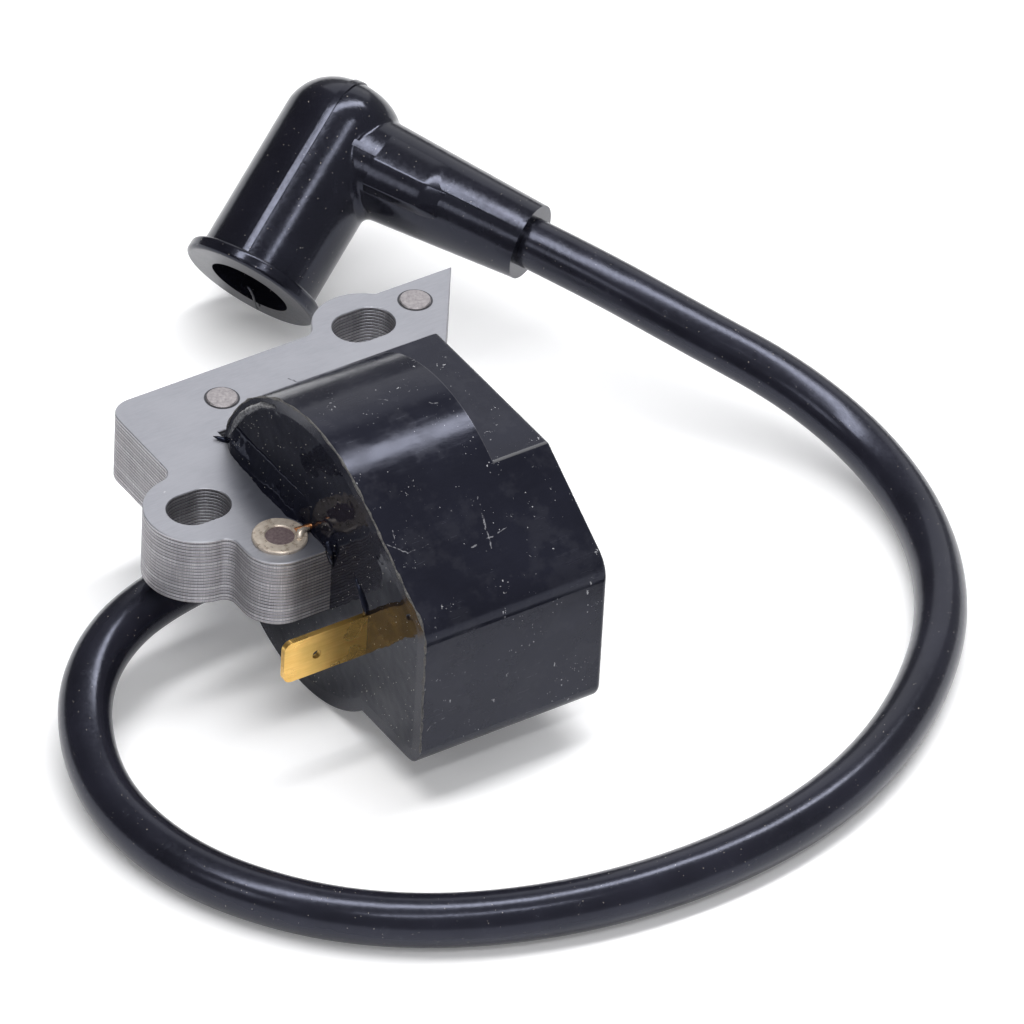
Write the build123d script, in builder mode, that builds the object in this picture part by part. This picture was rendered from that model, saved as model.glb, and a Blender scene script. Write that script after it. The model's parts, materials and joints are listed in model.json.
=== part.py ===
from build123d import *
import math
import os

# Ignition coil of a small engine: a U-shaped laminated core, a potted coil case on its short
# leg, a kill terminal, and a high-tension lead that ends in a right-angled spark plug boot.
# X runs along the core's legs, Y from the coil leg to the free leg, Z up. The case lies on Z=0.

os.makedirs("parts", exist_ok=True)

# Core stack
SHEET = 0.5
SHEET_COUNT = 20
CORE_BOTTOM = 16.2
CORE_TOP = CORE_BOTTOM + SHEET * SHEET_COUNT
SHEET_EDGE = 0.1
YOKE_LEFT = -23.8
YOKE_RIGHT = -13.9
FREE_LEG_FRONT = 16.5
FREE_LEG_BACK = 28.15
TIP_X = 31.5
TIP_BACK = 31.4
COIL_LEG_FRONT = -11.2
COIL_LEG_BACK = 0.2
COIL_LEG_END = 19.8
POLE_SLANT = 1.1
CORNER_RADIUS = 3.3

# Mounting ears and their slots
BACK_EAR = (14.7, 26.5)
BACK_EAR_RADIUS = 6.85
FRONT_EAR = (-24.4, 4.4)
FRONT_EAR_RADIUS = 7.1
FRONT_SLOT = (-24.2, 4.5)
SLOT_WIDTH = 6.4
SLOT_LENGTH = 8.7
EAR_BLEND = 2.0
LOBE_RADIUS = 4.9

# Rivets and the earth point
RIVETS = [(-9.7, 22.3), (23.4, 27.6)]
RIVET_RADIUS = 1.6
RIVET_HEAD_RADIUS = 2.1
RIVET_HEAD = 0.25
EARTH = (-18.6, -6.1)
EARTH_PIN_RADIUS = 1.9
EARTH_RING_RADIUS = 3.6
EARTH_RING_HEIGHT = 0.5
EARTH_FOOT_RADIUS = 3.1
EARTH_FOOT = 0.7
EARTH_WIRE_RADIUS = 0.4

# Coil case
COIL_Y = -5.5
COIL_Z = 21.2
CASE_RADIUS = 21.2
CASE_WALL = 1.8
CASE_END_WALL = 2.0
CASE_OPEN_X = -13.9
CASE_END_X = 13.7
FLANK_SLOPE = 34.5
SIDE_Y = -33.35
BOX_BOTTOM = 5.5
SHOULDER_RADIUS = 4.5
FOOT_RADIUS = 2.8
LAND_X = 5.1
LAND_Z = 37.9
CASE_EDGE = 0.7

# Lead socket in the case
SOCKET_Y = 8.5
SOCKET_Z = 11.7
SOCKET_RADIUS = 5.2
SOCKET_END_X = -7.5
COLLAR_RADIUS = 4.2
COLLAR_X = -18.0

# Windings, all about the coil axis
CAVITY_END_X = CASE_END_X - CASE_END_WALL
PRIMARY_X = -12.5
PRIMARY_TUBE_RADIUS = 8.6
PRIMARY_COIL_RADIUS = 9.8
PRIMARY_FLANGE_RADIUS = 10.2
PRIMARY_FLANGE = 1.0
SECONDARY_X = -7.0
SECONDARY_BORE_RADIUS = 10.4
SECONDARY_TUBE_RADIUS = 11.2
SECONDARY_COIL_RADIUS = 13.7
SECONDARY_FLANGE_RADIUS = 14.3
SECONDARY_FLANGE = 0.7
CHAMBERS = 5

# Kill terminal and circuit board
BLADE_THICK = 0.8
BLADE_BACK_Y = -19.2
BLADE_BOTTOM = 15.0
BLADE_TOP = 21.3
BLADE_TIP_X = -26.3
BLADE_ROOT_X = -8.5
BLADE_CORNER = 1.2
BLADE_HOLE = (-21.4, 18.0)
BLADE_HOLE_RADIUS = 0.65
BOARD_Y = BLADE_BACK_Y - BLADE_THICK
BOARD_THICK = 1.2
BOARD_LEFT = -12.7
BOARD_RIGHT = 10.5
BOARD_BOTTOM = 8.0
BOARD_TOP = 27.4

# High-tension lead
LEAD_RADIUS = 3.5
LEAD_END_X = -8.8
CONTACT_HEAD_RADIUS = 2.4
CONTACT_HEAD = 0.5
CONTACT_PIN_RADIUS = 0.7

# Plug boot: the barrel axis leaves the mouth upwards, the arm leaves it at a right angle
MOUTH = Vector(18.83, 60.47, 8.33)
BARREL = Vector(0.7732, 0.3304, 0.5413).normalized()
ARM = Vector(0.4481, -0.8886, -0.0979).normalized()
BARREL_RADIUS = 8.5
BARREL_LENGTH = 31.7
DOME_EDGE = 7.0
FLANGE_RADIUS = 9.9
FLANGE_THICK = 2.0
MOUTH_BORE_RADIUS = 5.8
MOUTH_BORE_DEPTH = 12.0
CHAMBER_RADIUS = 5.2
CHAMBER_TOP = 21.0
ELBOW_HEIGHT = 22.56
ARM_LENGTH = 31.1
ARM_ROOT_RADIUS = 7.2
ARM_TIP_RADIUS = 5.35
LEAD_INSIDE_ARM = 22.8
ELBOW_BLEND = 1.2
FLANGE_EDGE = 0.6
RIB_WIDTH = 0.9
RIB_PROUD = 0.18
BOOT_DISC = 1.0
BOOT_PIN_RADIUS = 1.2
SPRING_RADIUS = 4.4
SPRING_WIRE_RADIUS = 0.6
SPRING_LENGTH = 7.4
SPRING_PITCH = 2.4

pieces = {}


def keep(name, builder):
    """Label a finished piece and put it on the list to be written."""
    builder.part.label = name
    pieces[name] = builder.part


def nearest(sketch, x, y):
    """The sketch's corner nearest to a point."""
    return sketch.vertices().sort_by_distance((x, y, 0))[0]


def along(start, direction, distance):
    """The point at a distance from start along a direction."""
    return start + direction * distance


# ---------------------------------------------------------------- core outline

tip_root = (21.0, FREE_LEG_FRONT)
pole_knee = (22.9, 19.15)
pole_tip = (TIP_X, TIP_BACK)
ear_inside = (17.0, TIP_BACK)

with BuildSketch() as core_face:
    with BuildLine():
        Polyline(
            (YOKE_LEFT, COIL_LEG_FRONT),
            (COIL_LEG_END, COIL_LEG_FRONT),
            (COIL_LEG_END - POLE_SLANT, COIL_LEG_BACK),
            (YOKE_RIGHT, COIL_LEG_BACK),
            (YOKE_RIGHT, FREE_LEG_FRONT),
            tip_root,
            pole_knee,
            pole_tip,
            ear_inside,
            (ear_inside[0], FREE_LEG_BACK),
            (YOKE_LEFT, FREE_LEG_BACK),
            close=True,
        )
    make_face()
    with Locations(BACK_EAR):
        Circle(BACK_EAR_RADIUS)
    with Locations(FRONT_EAR):
        Circle(FRONT_EAR_RADIUS)
    fillet(nearest(core_face, YOKE_LEFT, FREE_LEG_BACK), CORNER_RADIUS)
    fillet(nearest(core_face, YOKE_LEFT, COIL_LEG_FRONT), LOBE_RADIUS)
    fillet(nearest(core_face, YOKE_LEFT, FRONT_EAR[1] + FRONT_EAR_RADIUS), EAR_BLEND)
    fillet(nearest(core_face, YOKE_LEFT, FRONT_EAR[1] - FRONT_EAR_RADIUS), 0.8 * EAR_BLEND)
    fillet(nearest(core_face, BACK_EAR[0] - BACK_EAR_RADIUS, FREE_LEG_BACK), EAR_BLEND)
    fillet(nearest(core_face, BACK_EAR[0] + 5.0, TIP_BACK), 0.5 * EAR_BLEND)
    with Locations(BACK_EAR, FRONT_SLOT):
        SlotOverall(SLOT_LENGTH, SLOT_WIDTH, mode=Mode.SUBTRACT)
    with Locations(*RIVETS):
        Circle(RIVET_RADIUS, mode=Mode.SUBTRACT)
    with Locations(EARTH):
        Circle(EARTH_PIN_RADIUS, mode=Mode.SUBTRACT)

for number in range(SHEET_COUNT):
    with BuildPart() as lamination:
        with BuildSketch(Plane.XY.offset(CORE_BOTTOM + number * SHEET)):
            add(core_face.sketch_local)
        extrude(amount=SHEET)
        upper_rim = lamination.faces().sort_by(Axis.Z)[-1].edges()
        chamfer(upper_rim, SHEET_EDGE)
    keep(f"lamination_{number + 1:02d}", lamination)

# ---------------------------------------------------------------- rivets and earth point

for number, place in enumerate(RIVETS):
    with BuildPart() as core_rivet:
        with BuildSketch(Plane.XY.offset(CORE_BOTTOM - RIVET_HEAD)):
            with Locations(place):
                Circle(RIVET_HEAD_RADIUS)
        extrude(amount=RIVET_HEAD)
        with BuildSketch(Plane.XY.offset(CORE_BOTTOM)):
            with Locations(place):
                Circle(RIVET_RADIUS)
        extrude(amount=SHEET * SHEET_COUNT)
        with BuildSketch(Plane.XY.offset(CORE_TOP)):
            with Locations(place):
                Circle(RIVET_HEAD_RADIUS)
        extrude(amount=RIVET_HEAD)
        head_rims = core_rivet.edges().filter_by(GeomType.CIRCLE).sort_by(Axis.Z)
        chamfer(head_rims[-1], 0.6 * RIVET_HEAD)
    keep(f"core_rivet_{number + 1}", core_rivet)

with BuildPart() as ground_rivet:
    with BuildSketch(Plane.XY.offset(CORE_BOTTOM - EARTH_FOOT)):
        with Locations(EARTH):
            Circle(EARTH_FOOT_RADIUS)
    extrude(amount=EARTH_FOOT)
    with BuildSketch(Plane.XY.offset(CORE_BOTTOM)):
        with Locations(EARTH):
            Circle(EARTH_PIN_RADIUS)
    extrude(amount=CORE_TOP - CORE_BOTTOM + 0.5 * EARTH_RING_HEIGHT)
keep("ground_rivet", ground_rivet)

with BuildPart() as ground_washer:
    with BuildSketch(Plane.XY.offset(CORE_TOP)):
        with Locations(EARTH):
            Circle(EARTH_RING_RADIUS)
            Circle(EARTH_PIN_RADIUS, mode=Mode.SUBTRACT)
    extrude(amount=EARTH_RING_HEIGHT)
    chamfer(ground_washer.edges().group_by(Axis.Z)[-1], 0.3 * EARTH_RING_HEIGHT)
keep("ground_washer", ground_washer)

wire_z = CORE_TOP + EARTH_WIRE_RADIUS + 0.05
wire_x = BOARD_LEFT - EARTH_WIRE_RADIUS
with BuildPart() as ground_wire:
    with BuildLine() as wire_path:
        FilletPolyline(
            (EARTH[0] + 2.2, EARTH[1] - 0.2, wire_z),
            (wire_x, EARTH[1] - 0.5, wire_z),
            (wire_x, BOARD_Y - 0.6, wire_z),
            radius=0.7,
        )
    with BuildSketch(Plane(wire_path.line @ 0, z_dir=wire_path.line % 0)):
        Circle(EARTH_WIRE_RADIUS)
    sweep(path=wire_path.line)
keep("ground_wire", ground_wire)

# ---------------------------------------------------------------- coil case


def case_face(inset):
    """The case's section in the YZ plane: a round barrel and a box, inset from its outside."""
    radius = CASE_RADIUS - inset
    normal = math.radians(90 + FLANK_SLOPE)
    touch_y = COIL_Y + radius * math.cos(normal)
    touch_z = COIL_Z + radius * math.sin(normal)
    side = SIDE_Y + inset
    shoulder_z = touch_z - (touch_y - side) * math.tan(math.radians(FLANK_SLOPE))
    bottom = BOX_BOTTOM + inset
    with BuildSketch() as face:
        with Locations((COIL_Y, COIL_Z)):
            Circle(radius)
        with BuildLine():
            Polyline(
                (touch_y, touch_z),
                (side, shoulder_z),
                (side, bottom),
                (COIL_Y, bottom),
                (COIL_Y, COIL_Z),
                close=True,
            )
        make_face()
        fillet(nearest(face, side, shoulder_z), SHOULDER_RADIUS - inset)
        fillet(nearest(face, side, bottom), FOOT_RADIUS - inset)
    return face.sketch_local


def above_land(start_x, end_x, land_z):
    """Everything above the flat land between two stations, to be cut away."""
    with BuildPart() as cutter:
        with BuildSketch(Plane.YZ.offset(start_x)):
            with Locations((COIL_Y, land_z + CASE_RADIUS)):
                Rectangle(4 * CASE_RADIUS, 2 * CASE_RADIUS)
        extrude(amount=end_x - start_x)
    return cutter.part


outer_face = case_face(0)
inner_face = case_face(CASE_WALL)
outer_cut = above_land(LAND_X, CASE_END_X, LAND_Z)
inner_cut = above_land(LAND_X - CASE_WALL, CASE_END_X, LAND_Z - CASE_WALL)

with BuildPart() as cavity:
    with BuildSketch(Plane.YZ.offset(CASE_OPEN_X)):
        add(inner_face)
    extrude(amount=CAVITY_END_X - CASE_OPEN_X)
    add(inner_cut, mode=Mode.SUBTRACT)

with BuildPart() as housing:
    with BuildSketch(Plane.YZ.offset(CASE_OPEN_X)):
        add(outer_face)
    extrude(amount=CASE_END_X - CASE_OPEN_X)
    add(outer_cut, mode=Mode.SUBTRACT)
    closed_end = housing.faces().sort_by(Axis.X)[-1]
    fillet(closed_end.edges(), CASE_EDGE)
    add(cavity.part, mode=Mode.SUBTRACT)
    with BuildSketch(Plane.YZ.offset(CASE_OPEN_X)):
        with Locations((SOCKET_Y, SOCKET_Z)):
            Circle(SOCKET_RADIUS)
    extrude(amount=SOCKET_END_X - CASE_OPEN_X)
    with BuildSketch(Plane.YZ.offset(COLLAR_X)):
        with Locations((SOCKET_Y, SOCKET_Z)):
            Circle(COLLAR_RADIUS)
    extrude(amount=CASE_OPEN_X - COLLAR_X + 1)
    with BuildSketch(Plane.YZ.offset(COLLAR_X)):
        with Locations((SOCKET_Y, SOCKET_Z)):
            Circle(LEAD_RADIUS)
    extrude(amount=LEAD_END_X + CONTACT_HEAD - COLLAR_X, mode=Mode.SUBTRACT)
    with BuildSketch(Plane.YZ.offset(LEAD_END_X)):
        with Locations((SOCKET_Y, SOCKET_Z)):
            Circle(CONTACT_PIN_RADIUS)
    extrude(amount=SOCKET_END_X - LEAD_END_X, mode=Mode.SUBTRACT)
    with BuildSketch(Plane.YZ.offset(CAVITY_END_X - 1)):
        with Locations((COIL_Y, COIL_Z)):
            Rectangle(COIL_LEG_BACK - COIL_LEG_FRONT, CORE_TOP - CORE_BOTTOM)
    extrude(amount=CASE_END_WALL + 2, mode=Mode.SUBTRACT)
keep("housing", housing)

# ---------------------------------------------------------------- windings


def ring(start_x, end_x, outer, inner):
    """A tube about the coil axis."""
    with BuildPart() as tube:
        with BuildSketch(Plane.YZ.offset(start_x)):
            with Locations((COIL_Y, COIL_Z)):
                Circle(outer)
                Circle(inner, mode=Mode.SUBTRACT)
        extrude(amount=end_x - start_x)
    return tube


with BuildPart() as primary_bobbin:
    with BuildSketch(Plane.YZ.offset(PRIMARY_X)):
        with Locations((COIL_Y, COIL_Z)):
            Circle(PRIMARY_TUBE_RADIUS)
    extrude(amount=CAVITY_END_X - PRIMARY_X)
    for flange_x in (PRIMARY_X, CAVITY_END_X - PRIMARY_FLANGE):
        with BuildSketch(Plane.YZ.offset(flange_x)):
            with Locations((COIL_Y, COIL_Z)):
                Circle(PRIMARY_FLANGE_RADIUS)
        extrude(amount=PRIMARY_FLANGE)
    with BuildSketch(Plane.YZ.offset(PRIMARY_X)):
        with Locations((COIL_Y, COIL_Z)):
            Rectangle(COIL_LEG_BACK - COIL_LEG_FRONT, CORE_TOP - CORE_BOTTOM)
    extrude(amount=CAVITY_END_X - PRIMARY_X, mode=Mode.SUBTRACT)
keep("primary_bobbin", primary_bobbin)

primary_winding = ring(
    PRIMARY_X + PRIMARY_FLANGE,
    CAVITY_END_X - PRIMARY_FLANGE,
    PRIMARY_COIL_RADIUS,
    PRIMARY_TUBE_RADIUS,
)
keep("primary_winding", primary_winding)

secondary_length = CAVITY_END_X - SECONDARY_X
chamber = (secondary_length - (CHAMBERS + 1) * SECONDARY_FLANGE) / CHAMBERS
chamber_pitch = chamber + SECONDARY_FLANGE
with BuildPart() as secondary_bobbin:
    with BuildSketch(Plane.YZ.offset(SECONDARY_X)):
        with Locations((COIL_Y, COIL_Z)):
            Circle(SECONDARY_TUBE_RADIUS)
    extrude(amount=secondary_length)
    for number in range(CHAMBERS + 1):
        with BuildSketch(Plane.YZ.offset(SECONDARY_X + number * chamber_pitch)):
            with Locations((COIL_Y, COIL_Z)):
                Circle(SECONDARY_FLANGE_RADIUS)
        extrude(amount=SECONDARY_FLANGE)
    with BuildSketch(Plane.YZ.offset(SECONDARY_X)):
        with Locations((COIL_Y, COIL_Z)):
            Circle(SECONDARY_BORE_RADIUS)
    extrude(amount=secondary_length, mode=Mode.SUBTRACT)
keep("secondary_bobbin", secondary_bobbin)

for number in range(CHAMBERS):
    start_x = SECONDARY_X + SECONDARY_FLANGE + number * chamber_pitch
    winding = ring(start_x, start_x + chamber, SECONDARY_COIL_RADIUS, SECONDARY_TUBE_RADIUS)
    keep(f"secondary_winding_{number + 1}", winding)

# ---------------------------------------------------------------- high-tension contact

contact_bend_x = SECONDARY_X + SECONDARY_FLANGE + 0.5 * chamber
socket_point = Vector(contact_bend_x, SOCKET_Y, SOCKET_Z)
to_coil = Vector(0, COIL_Y - SOCKET_Y, COIL_Z - SOCKET_Z)
contact_reach = to_coil.length - SECONDARY_COIL_RADIUS
with BuildPart() as ht_contact:
    with BuildSketch(Plane.YZ.offset(LEAD_END_X)):
        with Locations((SOCKET_Y, SOCKET_Z)):
            Circle(CONTACT_HEAD_RADIUS)
    extrude(amount=CONTACT_HEAD)
    with BuildSketch(Plane.YZ.offset(LEAD_END_X)):
        with Locations((SOCKET_Y, SOCKET_Z)):
            Circle(CONTACT_PIN_RADIUS)
    extrude(amount=contact_bend_x + CONTACT_PIN_RADIUS - LEAD_END_X)
    with BuildSketch(Plane(socket_point, z_dir=to_coil)):
        Circle(CONTACT_PIN_RADIUS)
    extrude(amount=contact_reach)
keep("ht_contact", ht_contact)

# ---------------------------------------------------------------- kill terminal and board

blade_length = BLADE_ROOT_X - BLADE_TIP_X
blade_height = BLADE_TOP - BLADE_BOTTOM
with BuildPart() as kill_terminal:
    with BuildSketch(Plane.XZ.offset(-BLADE_BACK_Y)) as blade_face:
        with Locations((BLADE_TIP_X + blade_length / 2, BLADE_BOTTOM + blade_height / 2)):
            Rectangle(blade_length, blade_height)
        fillet(blade_face.vertices().group_by(Axis.X)[0], BLADE_CORNER)
        with Locations(BLADE_HOLE):
            Circle(BLADE_HOLE_RADIUS, mode=Mode.SUBTRACT)
    extrude(amount=BLADE_THICK)
keep("kill_terminal", kill_terminal)

with BuildPart() as circuit_board:
    with BuildSketch(Plane.XZ.offset(-BOARD_Y)):
        with Locations(((BOARD_LEFT + BOARD_RIGHT) / 2, (BOARD_BOTTOM + BOARD_TOP) / 2)):
            Rectangle(BOARD_RIGHT - BOARD_LEFT, BOARD_TOP - BOARD_BOTTOM)
    extrude(amount=BOARD_THICK)
keep("circuit_board", circuit_board)

PARTS_Y = BOARD_THICK - BOARD_Y
parts_plane = Plane.XZ.offset(PARTS_Y)


def block(x, z, width, height, depth, corner):
    """A moulded block standing on the board."""
    with BuildPart() as body:
        with BuildSketch(parts_plane):
            with Locations((x, z)):
                RectangleRounded(width, height, corner)
        extrude(amount=depth)
    return body


def axial(x, z, body_radius, body_length, wire_radius, span):
    """A round component lying along X on two bent wires."""
    lift = body_radius + 0.4
    with BuildPart() as component:
        with BuildSketch(Plane.YZ.offset(x - body_length / 2)):
            with Locations((-PARTS_Y - lift, z)):
                Circle(body_radius)
        extrude(amount=body_length)
        with BuildSketch(Plane.YZ.offset(x - span / 2)):
            with Locations((-PARTS_Y - lift, z)):
                Circle(wire_radius)
        extrude(amount=span)
        with BuildSketch(parts_plane):
            with Locations((x - span / 2, z), (x + span / 2, z)):
                Circle(wire_radius)
        extrude(amount=lift)
    return component


power_transistor = block(-6.4, 13.2, 10.0, 9.0, 4.4, 0.4)
keep("power_transistor", power_transistor)
trigger_thyristor = block(3.6, 22.2, 4.6, 4.8, 3.6, 0.9)
keep("trigger_thyristor", trigger_thyristor)
filter_capacitor = block(5.4, 13.4, 7.2, 6.5, 3.0, 1.0)
keep("filter_capacitor", filter_capacitor)
keep("flyback_diode", axial(-6.4, 23.8, 1.35, 4.6, 0.4, 8.0))
keep("resistor_1", axial(-6.4, 20.0, 0.95, 3.6, 0.3, 7.0))
keep("resistor_2", axial(5.4, 18.4, 0.95, 3.6, 0.3, 7.0))

# ---------------------------------------------------------------- potting resin

with BuildPart() as potting_resin:
    add(cavity.part)
    add(housing.part, mode=Mode.SUBTRACT)
    with BuildSketch(Plane.YZ.offset(CASE_OPEN_X)):
        with Locations((SOCKET_Y, SOCKET_Z)):
            Circle(SOCKET_RADIUS)
    extrude(amount=SOCKET_END_X - CASE_OPEN_X, mode=Mode.SUBTRACT)
    with BuildSketch(Plane.YZ.offset(CASE_OPEN_X)):
        with Locations((COIL_Y, COIL_Z)):
            Rectangle(COIL_LEG_BACK - COIL_LEG_FRONT, CORE_TOP - CORE_BOTTOM)
    extrude(amount=CAVITY_END_X - CASE_OPEN_X, mode=Mode.SUBTRACT)
    for name, piece in pieces.items():
        if not name.startswith(("lamination", "core_rivet", "ground_rivet", "housing")):
            add(piece, mode=Mode.SUBTRACT)
keep("potting_resin", potting_resin)

# ---------------------------------------------------------------- plug boot

barrel_plane = Plane(MOUTH, x_dir=ARM, z_dir=BARREL)
elbow = along(MOUTH, BARREL, ELBOW_HEIGHT)
arm_plane = Plane(elbow, x_dir=BARREL, z_dir=ARM)


def arm_cone(root_radius, tip_radius, length):
    """The tapered arm, from the elbow to its open end."""
    with BuildPart() as cone:
        with BuildSketch(arm_plane):
            Circle(root_radius)
        with BuildSketch(arm_plane.offset(length)):
            Circle(tip_radius)
        loft()
    return cone.part


arm_skin = arm_cone(ARM_ROOT_RADIUS + RIB_PROUD, ARM_TIP_RADIUS + RIB_PROUD, ARM_LENGTH - RIB_WIDTH)
arm_core = arm_cone(ARM_ROOT_RADIUS, ARM_TIP_RADIUS, ARM_LENGTH)

with BuildPart() as barrel_seam:
    with BuildSketch(barrel_plane):
        Circle(BARREL_RADIUS + RIB_PROUD)
    extrude(amount=BARREL_LENGTH + RIB_PROUD)
    fillet(barrel_seam.edges().sort_by(Axis(MOUTH, BARREL))[-1], DOME_EDGE)
    with BuildSketch(Plane(elbow, x_dir=BARREL, z_dir=ARM)):
        Rectangle(3 * BARREL_LENGTH, 3 * BARREL_RADIUS)
    extrude(amount=RIB_WIDTH / 2, both=True, mode=Mode.INTERSECT)

with BuildPart() as arm_seam:
    add(arm_skin)
    with BuildSketch(Plane(elbow, x_dir=ARM, z_dir=BARREL)):
        Rectangle(3 * ARM_LENGTH, 3 * ARM_ROOT_RADIUS)
    extrude(amount=RIB_WIDTH / 2, both=True, mode=Mode.INTERSECT)

with BuildPart() as plug_boot:
    with BuildSketch(barrel_plane):
        Circle(BARREL_RADIUS)
    extrude(amount=BARREL_LENGTH)
    fillet(plug_boot.edges().sort_by(Axis(MOUTH, BARREL))[-1], DOME_EDGE)
    add(arm_core)
    fillet(plug_boot.edges().filter_by(GeomType.BSPLINE), ELBOW_BLEND)
    with BuildSketch(barrel_plane):
        Circle(FLANGE_RADIUS)
    extrude(amount=FLANGE_THICK)
    fillet(plug_boot.edges().filter_by(GeomType.CIRCLE).group_by(SortBy.RADIUS)[-1], FLANGE_EDGE)
    add(barrel_seam.part)
    add(arm_seam.part)
    with BuildSketch(barrel_plane):
        Circle(MOUTH_BORE_RADIUS)
    extrude(amount=MOUTH_BORE_DEPTH, mode=Mode.SUBTRACT)
    with BuildSketch(barrel_plane):
        Circle(CHAMBER_RADIUS)
    extrude(amount=CHAMBER_TOP, mode=Mode.SUBTRACT)
    with BuildSketch(barrel_plane):
        Circle(BOOT_PIN_RADIUS)
    extrude(amount=ELBOW_HEIGHT + BOOT_PIN_RADIUS, mode=Mode.SUBTRACT)
    with BuildSketch(arm_plane):
        Circle(BOOT_PIN_RADIUS)
    extrude(amount=LEAD_INSIDE_ARM, mode=Mode.SUBTRACT)
    with BuildSketch(arm_plane.offset(LEAD_INSIDE_ARM)):
        Circle(LEAD_RADIUS)
    extrude(amount=ARM_LENGTH, mode=Mode.SUBTRACT)
keep("plug_boot", plug_boot)

with BuildPart() as plug_contact:
    with BuildSketch(barrel_plane.offset(CHAMBER_TOP - BOOT_DISC)):
        Circle(CHAMBER_RADIUS)
    extrude(amount=BOOT_DISC)
    with BuildSketch(barrel_plane.offset(CHAMBER_TOP)):
        Circle(BOOT_PIN_RADIUS)
    extrude(amount=ELBOW_HEIGHT + BOOT_PIN_RADIUS - CHAMBER_TOP)
    with BuildSketch(arm_plane):
        Circle(BOOT_PIN_RADIUS)
    extrude(amount=LEAD_INSIDE_ARM)
keep("plug_contact", plug_contact)

spring_start = CHAMBER_TOP - BOOT_DISC - SPRING_LENGTH - 0.4 * SPRING_WIRE_RADIUS
with BuildPart() as plug_spring:
    with BuildLine() as coil_line:
        Helix(
            pitch=SPRING_PITCH,
            height=SPRING_LENGTH - SPRING_WIRE_RADIUS,
            radius=SPRING_RADIUS,
            center=along(MOUTH, BARREL, spring_start + SPRING_WIRE_RADIUS),
            direction=BARREL,
        )
    with BuildSketch(Plane(coil_line.line @ 0, z_dir=coil_line.line % 0)):
        Circle(SPRING_WIRE_RADIUS)
    sweep(path=coil_line.line, is_frenet=True)
keep("plug_spring", plug_spring)

# ---------------------------------------------------------------- high-tension lead

table_z = LEAD_RADIUS
lead_route = [
    along(elbow, ARM, LEAD_INSIDE_ARM),
    along(elbow, ARM, 39.2),
    Vector(61.5, 18.5, 13.5),
    Vector(70.0, 5.0, 9.5),
    Vector(74.0, -9.0, 5.5),
    Vector(72.0, -24.0, table_z),
    Vector(64.0, -39.0, table_z),
    Vector(52.0, -51.0, table_z),
    Vector(37.5, -60.0, table_z),
    Vector(21.5, -65.0, table_z),
    Vector(4.5, -66.0, table_z),
    Vector(-12.5, -63.5, table_z),
    Vector(-28.5, -57.0, table_z),
    Vector(-41.0, -46.5, table_z),
    Vector(-49.5, -31.5, table_z),
    Vector(-50.9, -14.0, 4.5),
    Vector(-43.2, 1.7, 8.5),
    Vector(-26.8, SOCKET_Y, SOCKET_Z),
    Vector(LEAD_END_X, SOCKET_Y, SOCKET_Z),
]

runs = [after - before for before, after in zip(lead_route, lead_route[1:])]
turns = [one.get_angle(other) for one, other in zip(runs, runs[1:])]
shorter = [min(one.length, other.length) for one, other in zip(runs, runs[1:])]
bend_radii = [
    0.45 * run / math.tan(math.radians(turn / 2)) for run, turn in zip(shorter, turns)
]

with BuildPart() as ht_lead:
    with BuildLine() as lead_path:
        lead_line = FilletPolyline(*lead_route, radius=bend_radii)
    with BuildSketch(Plane(lead_path.line @ 0, z_dir=lead_path.line % 0)):
        Circle(LEAD_RADIUS)
    sweep(path=lead_path.line)
keep("ht_lead", ht_lead)

print("lead runs:", [round(run.length, 1) for run in runs])
print("lead bend radii:", [round(radius, 1) for radius in bend_radii])
section_volume = math.pi * LEAD_RADIUS**2 * lead_line.length
print("lead length:", round(lead_line.length, 1))
print("lead volume over section times length:", round(ht_lead.part.volume / section_volume, 4))

for name, piece in pieces.items():
    export_step(piece, f"parts/{name}.step")
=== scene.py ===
import json
import math
import random

import bmesh
import bpy
from mathutils import Matrix, Vector


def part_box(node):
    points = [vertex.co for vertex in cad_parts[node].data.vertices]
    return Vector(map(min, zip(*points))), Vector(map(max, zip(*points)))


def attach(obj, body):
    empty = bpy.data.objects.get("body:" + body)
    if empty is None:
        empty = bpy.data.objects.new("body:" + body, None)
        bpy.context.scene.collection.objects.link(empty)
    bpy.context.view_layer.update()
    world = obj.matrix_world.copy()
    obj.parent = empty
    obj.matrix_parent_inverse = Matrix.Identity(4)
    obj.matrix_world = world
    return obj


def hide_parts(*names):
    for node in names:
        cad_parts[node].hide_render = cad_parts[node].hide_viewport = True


# An ignition coil on a pale table: laminated core, potted case, brass blade, lead and plug boot.

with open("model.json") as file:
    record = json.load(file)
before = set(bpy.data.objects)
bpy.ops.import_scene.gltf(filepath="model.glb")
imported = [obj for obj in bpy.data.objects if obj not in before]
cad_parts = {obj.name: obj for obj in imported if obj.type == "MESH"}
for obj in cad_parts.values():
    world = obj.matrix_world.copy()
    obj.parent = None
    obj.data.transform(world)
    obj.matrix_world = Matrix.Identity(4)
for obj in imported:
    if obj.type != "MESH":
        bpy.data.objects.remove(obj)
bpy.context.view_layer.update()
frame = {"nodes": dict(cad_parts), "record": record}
MM = 0.001
ROOT = "root"


def box_mm(name):
    """The low and high corners of a node's box, in millimetres."""
    return [Vector(corner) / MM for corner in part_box(name)]


SHEET_COUNT = 20
side_wall = box_mm("housing")[0].y
sheet_top = box_mm("lamination_20")[1].z
sheet_bottom = box_mm("lamination_01")[0].z
sheet_step = (sheet_top - sheet_bottom) / SHEET_COUNT


def mm(*values):
    """A point given in millimetres."""
    return Vector([value * MM for value in values])


# ---------------------------------------------------------------- camera

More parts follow.
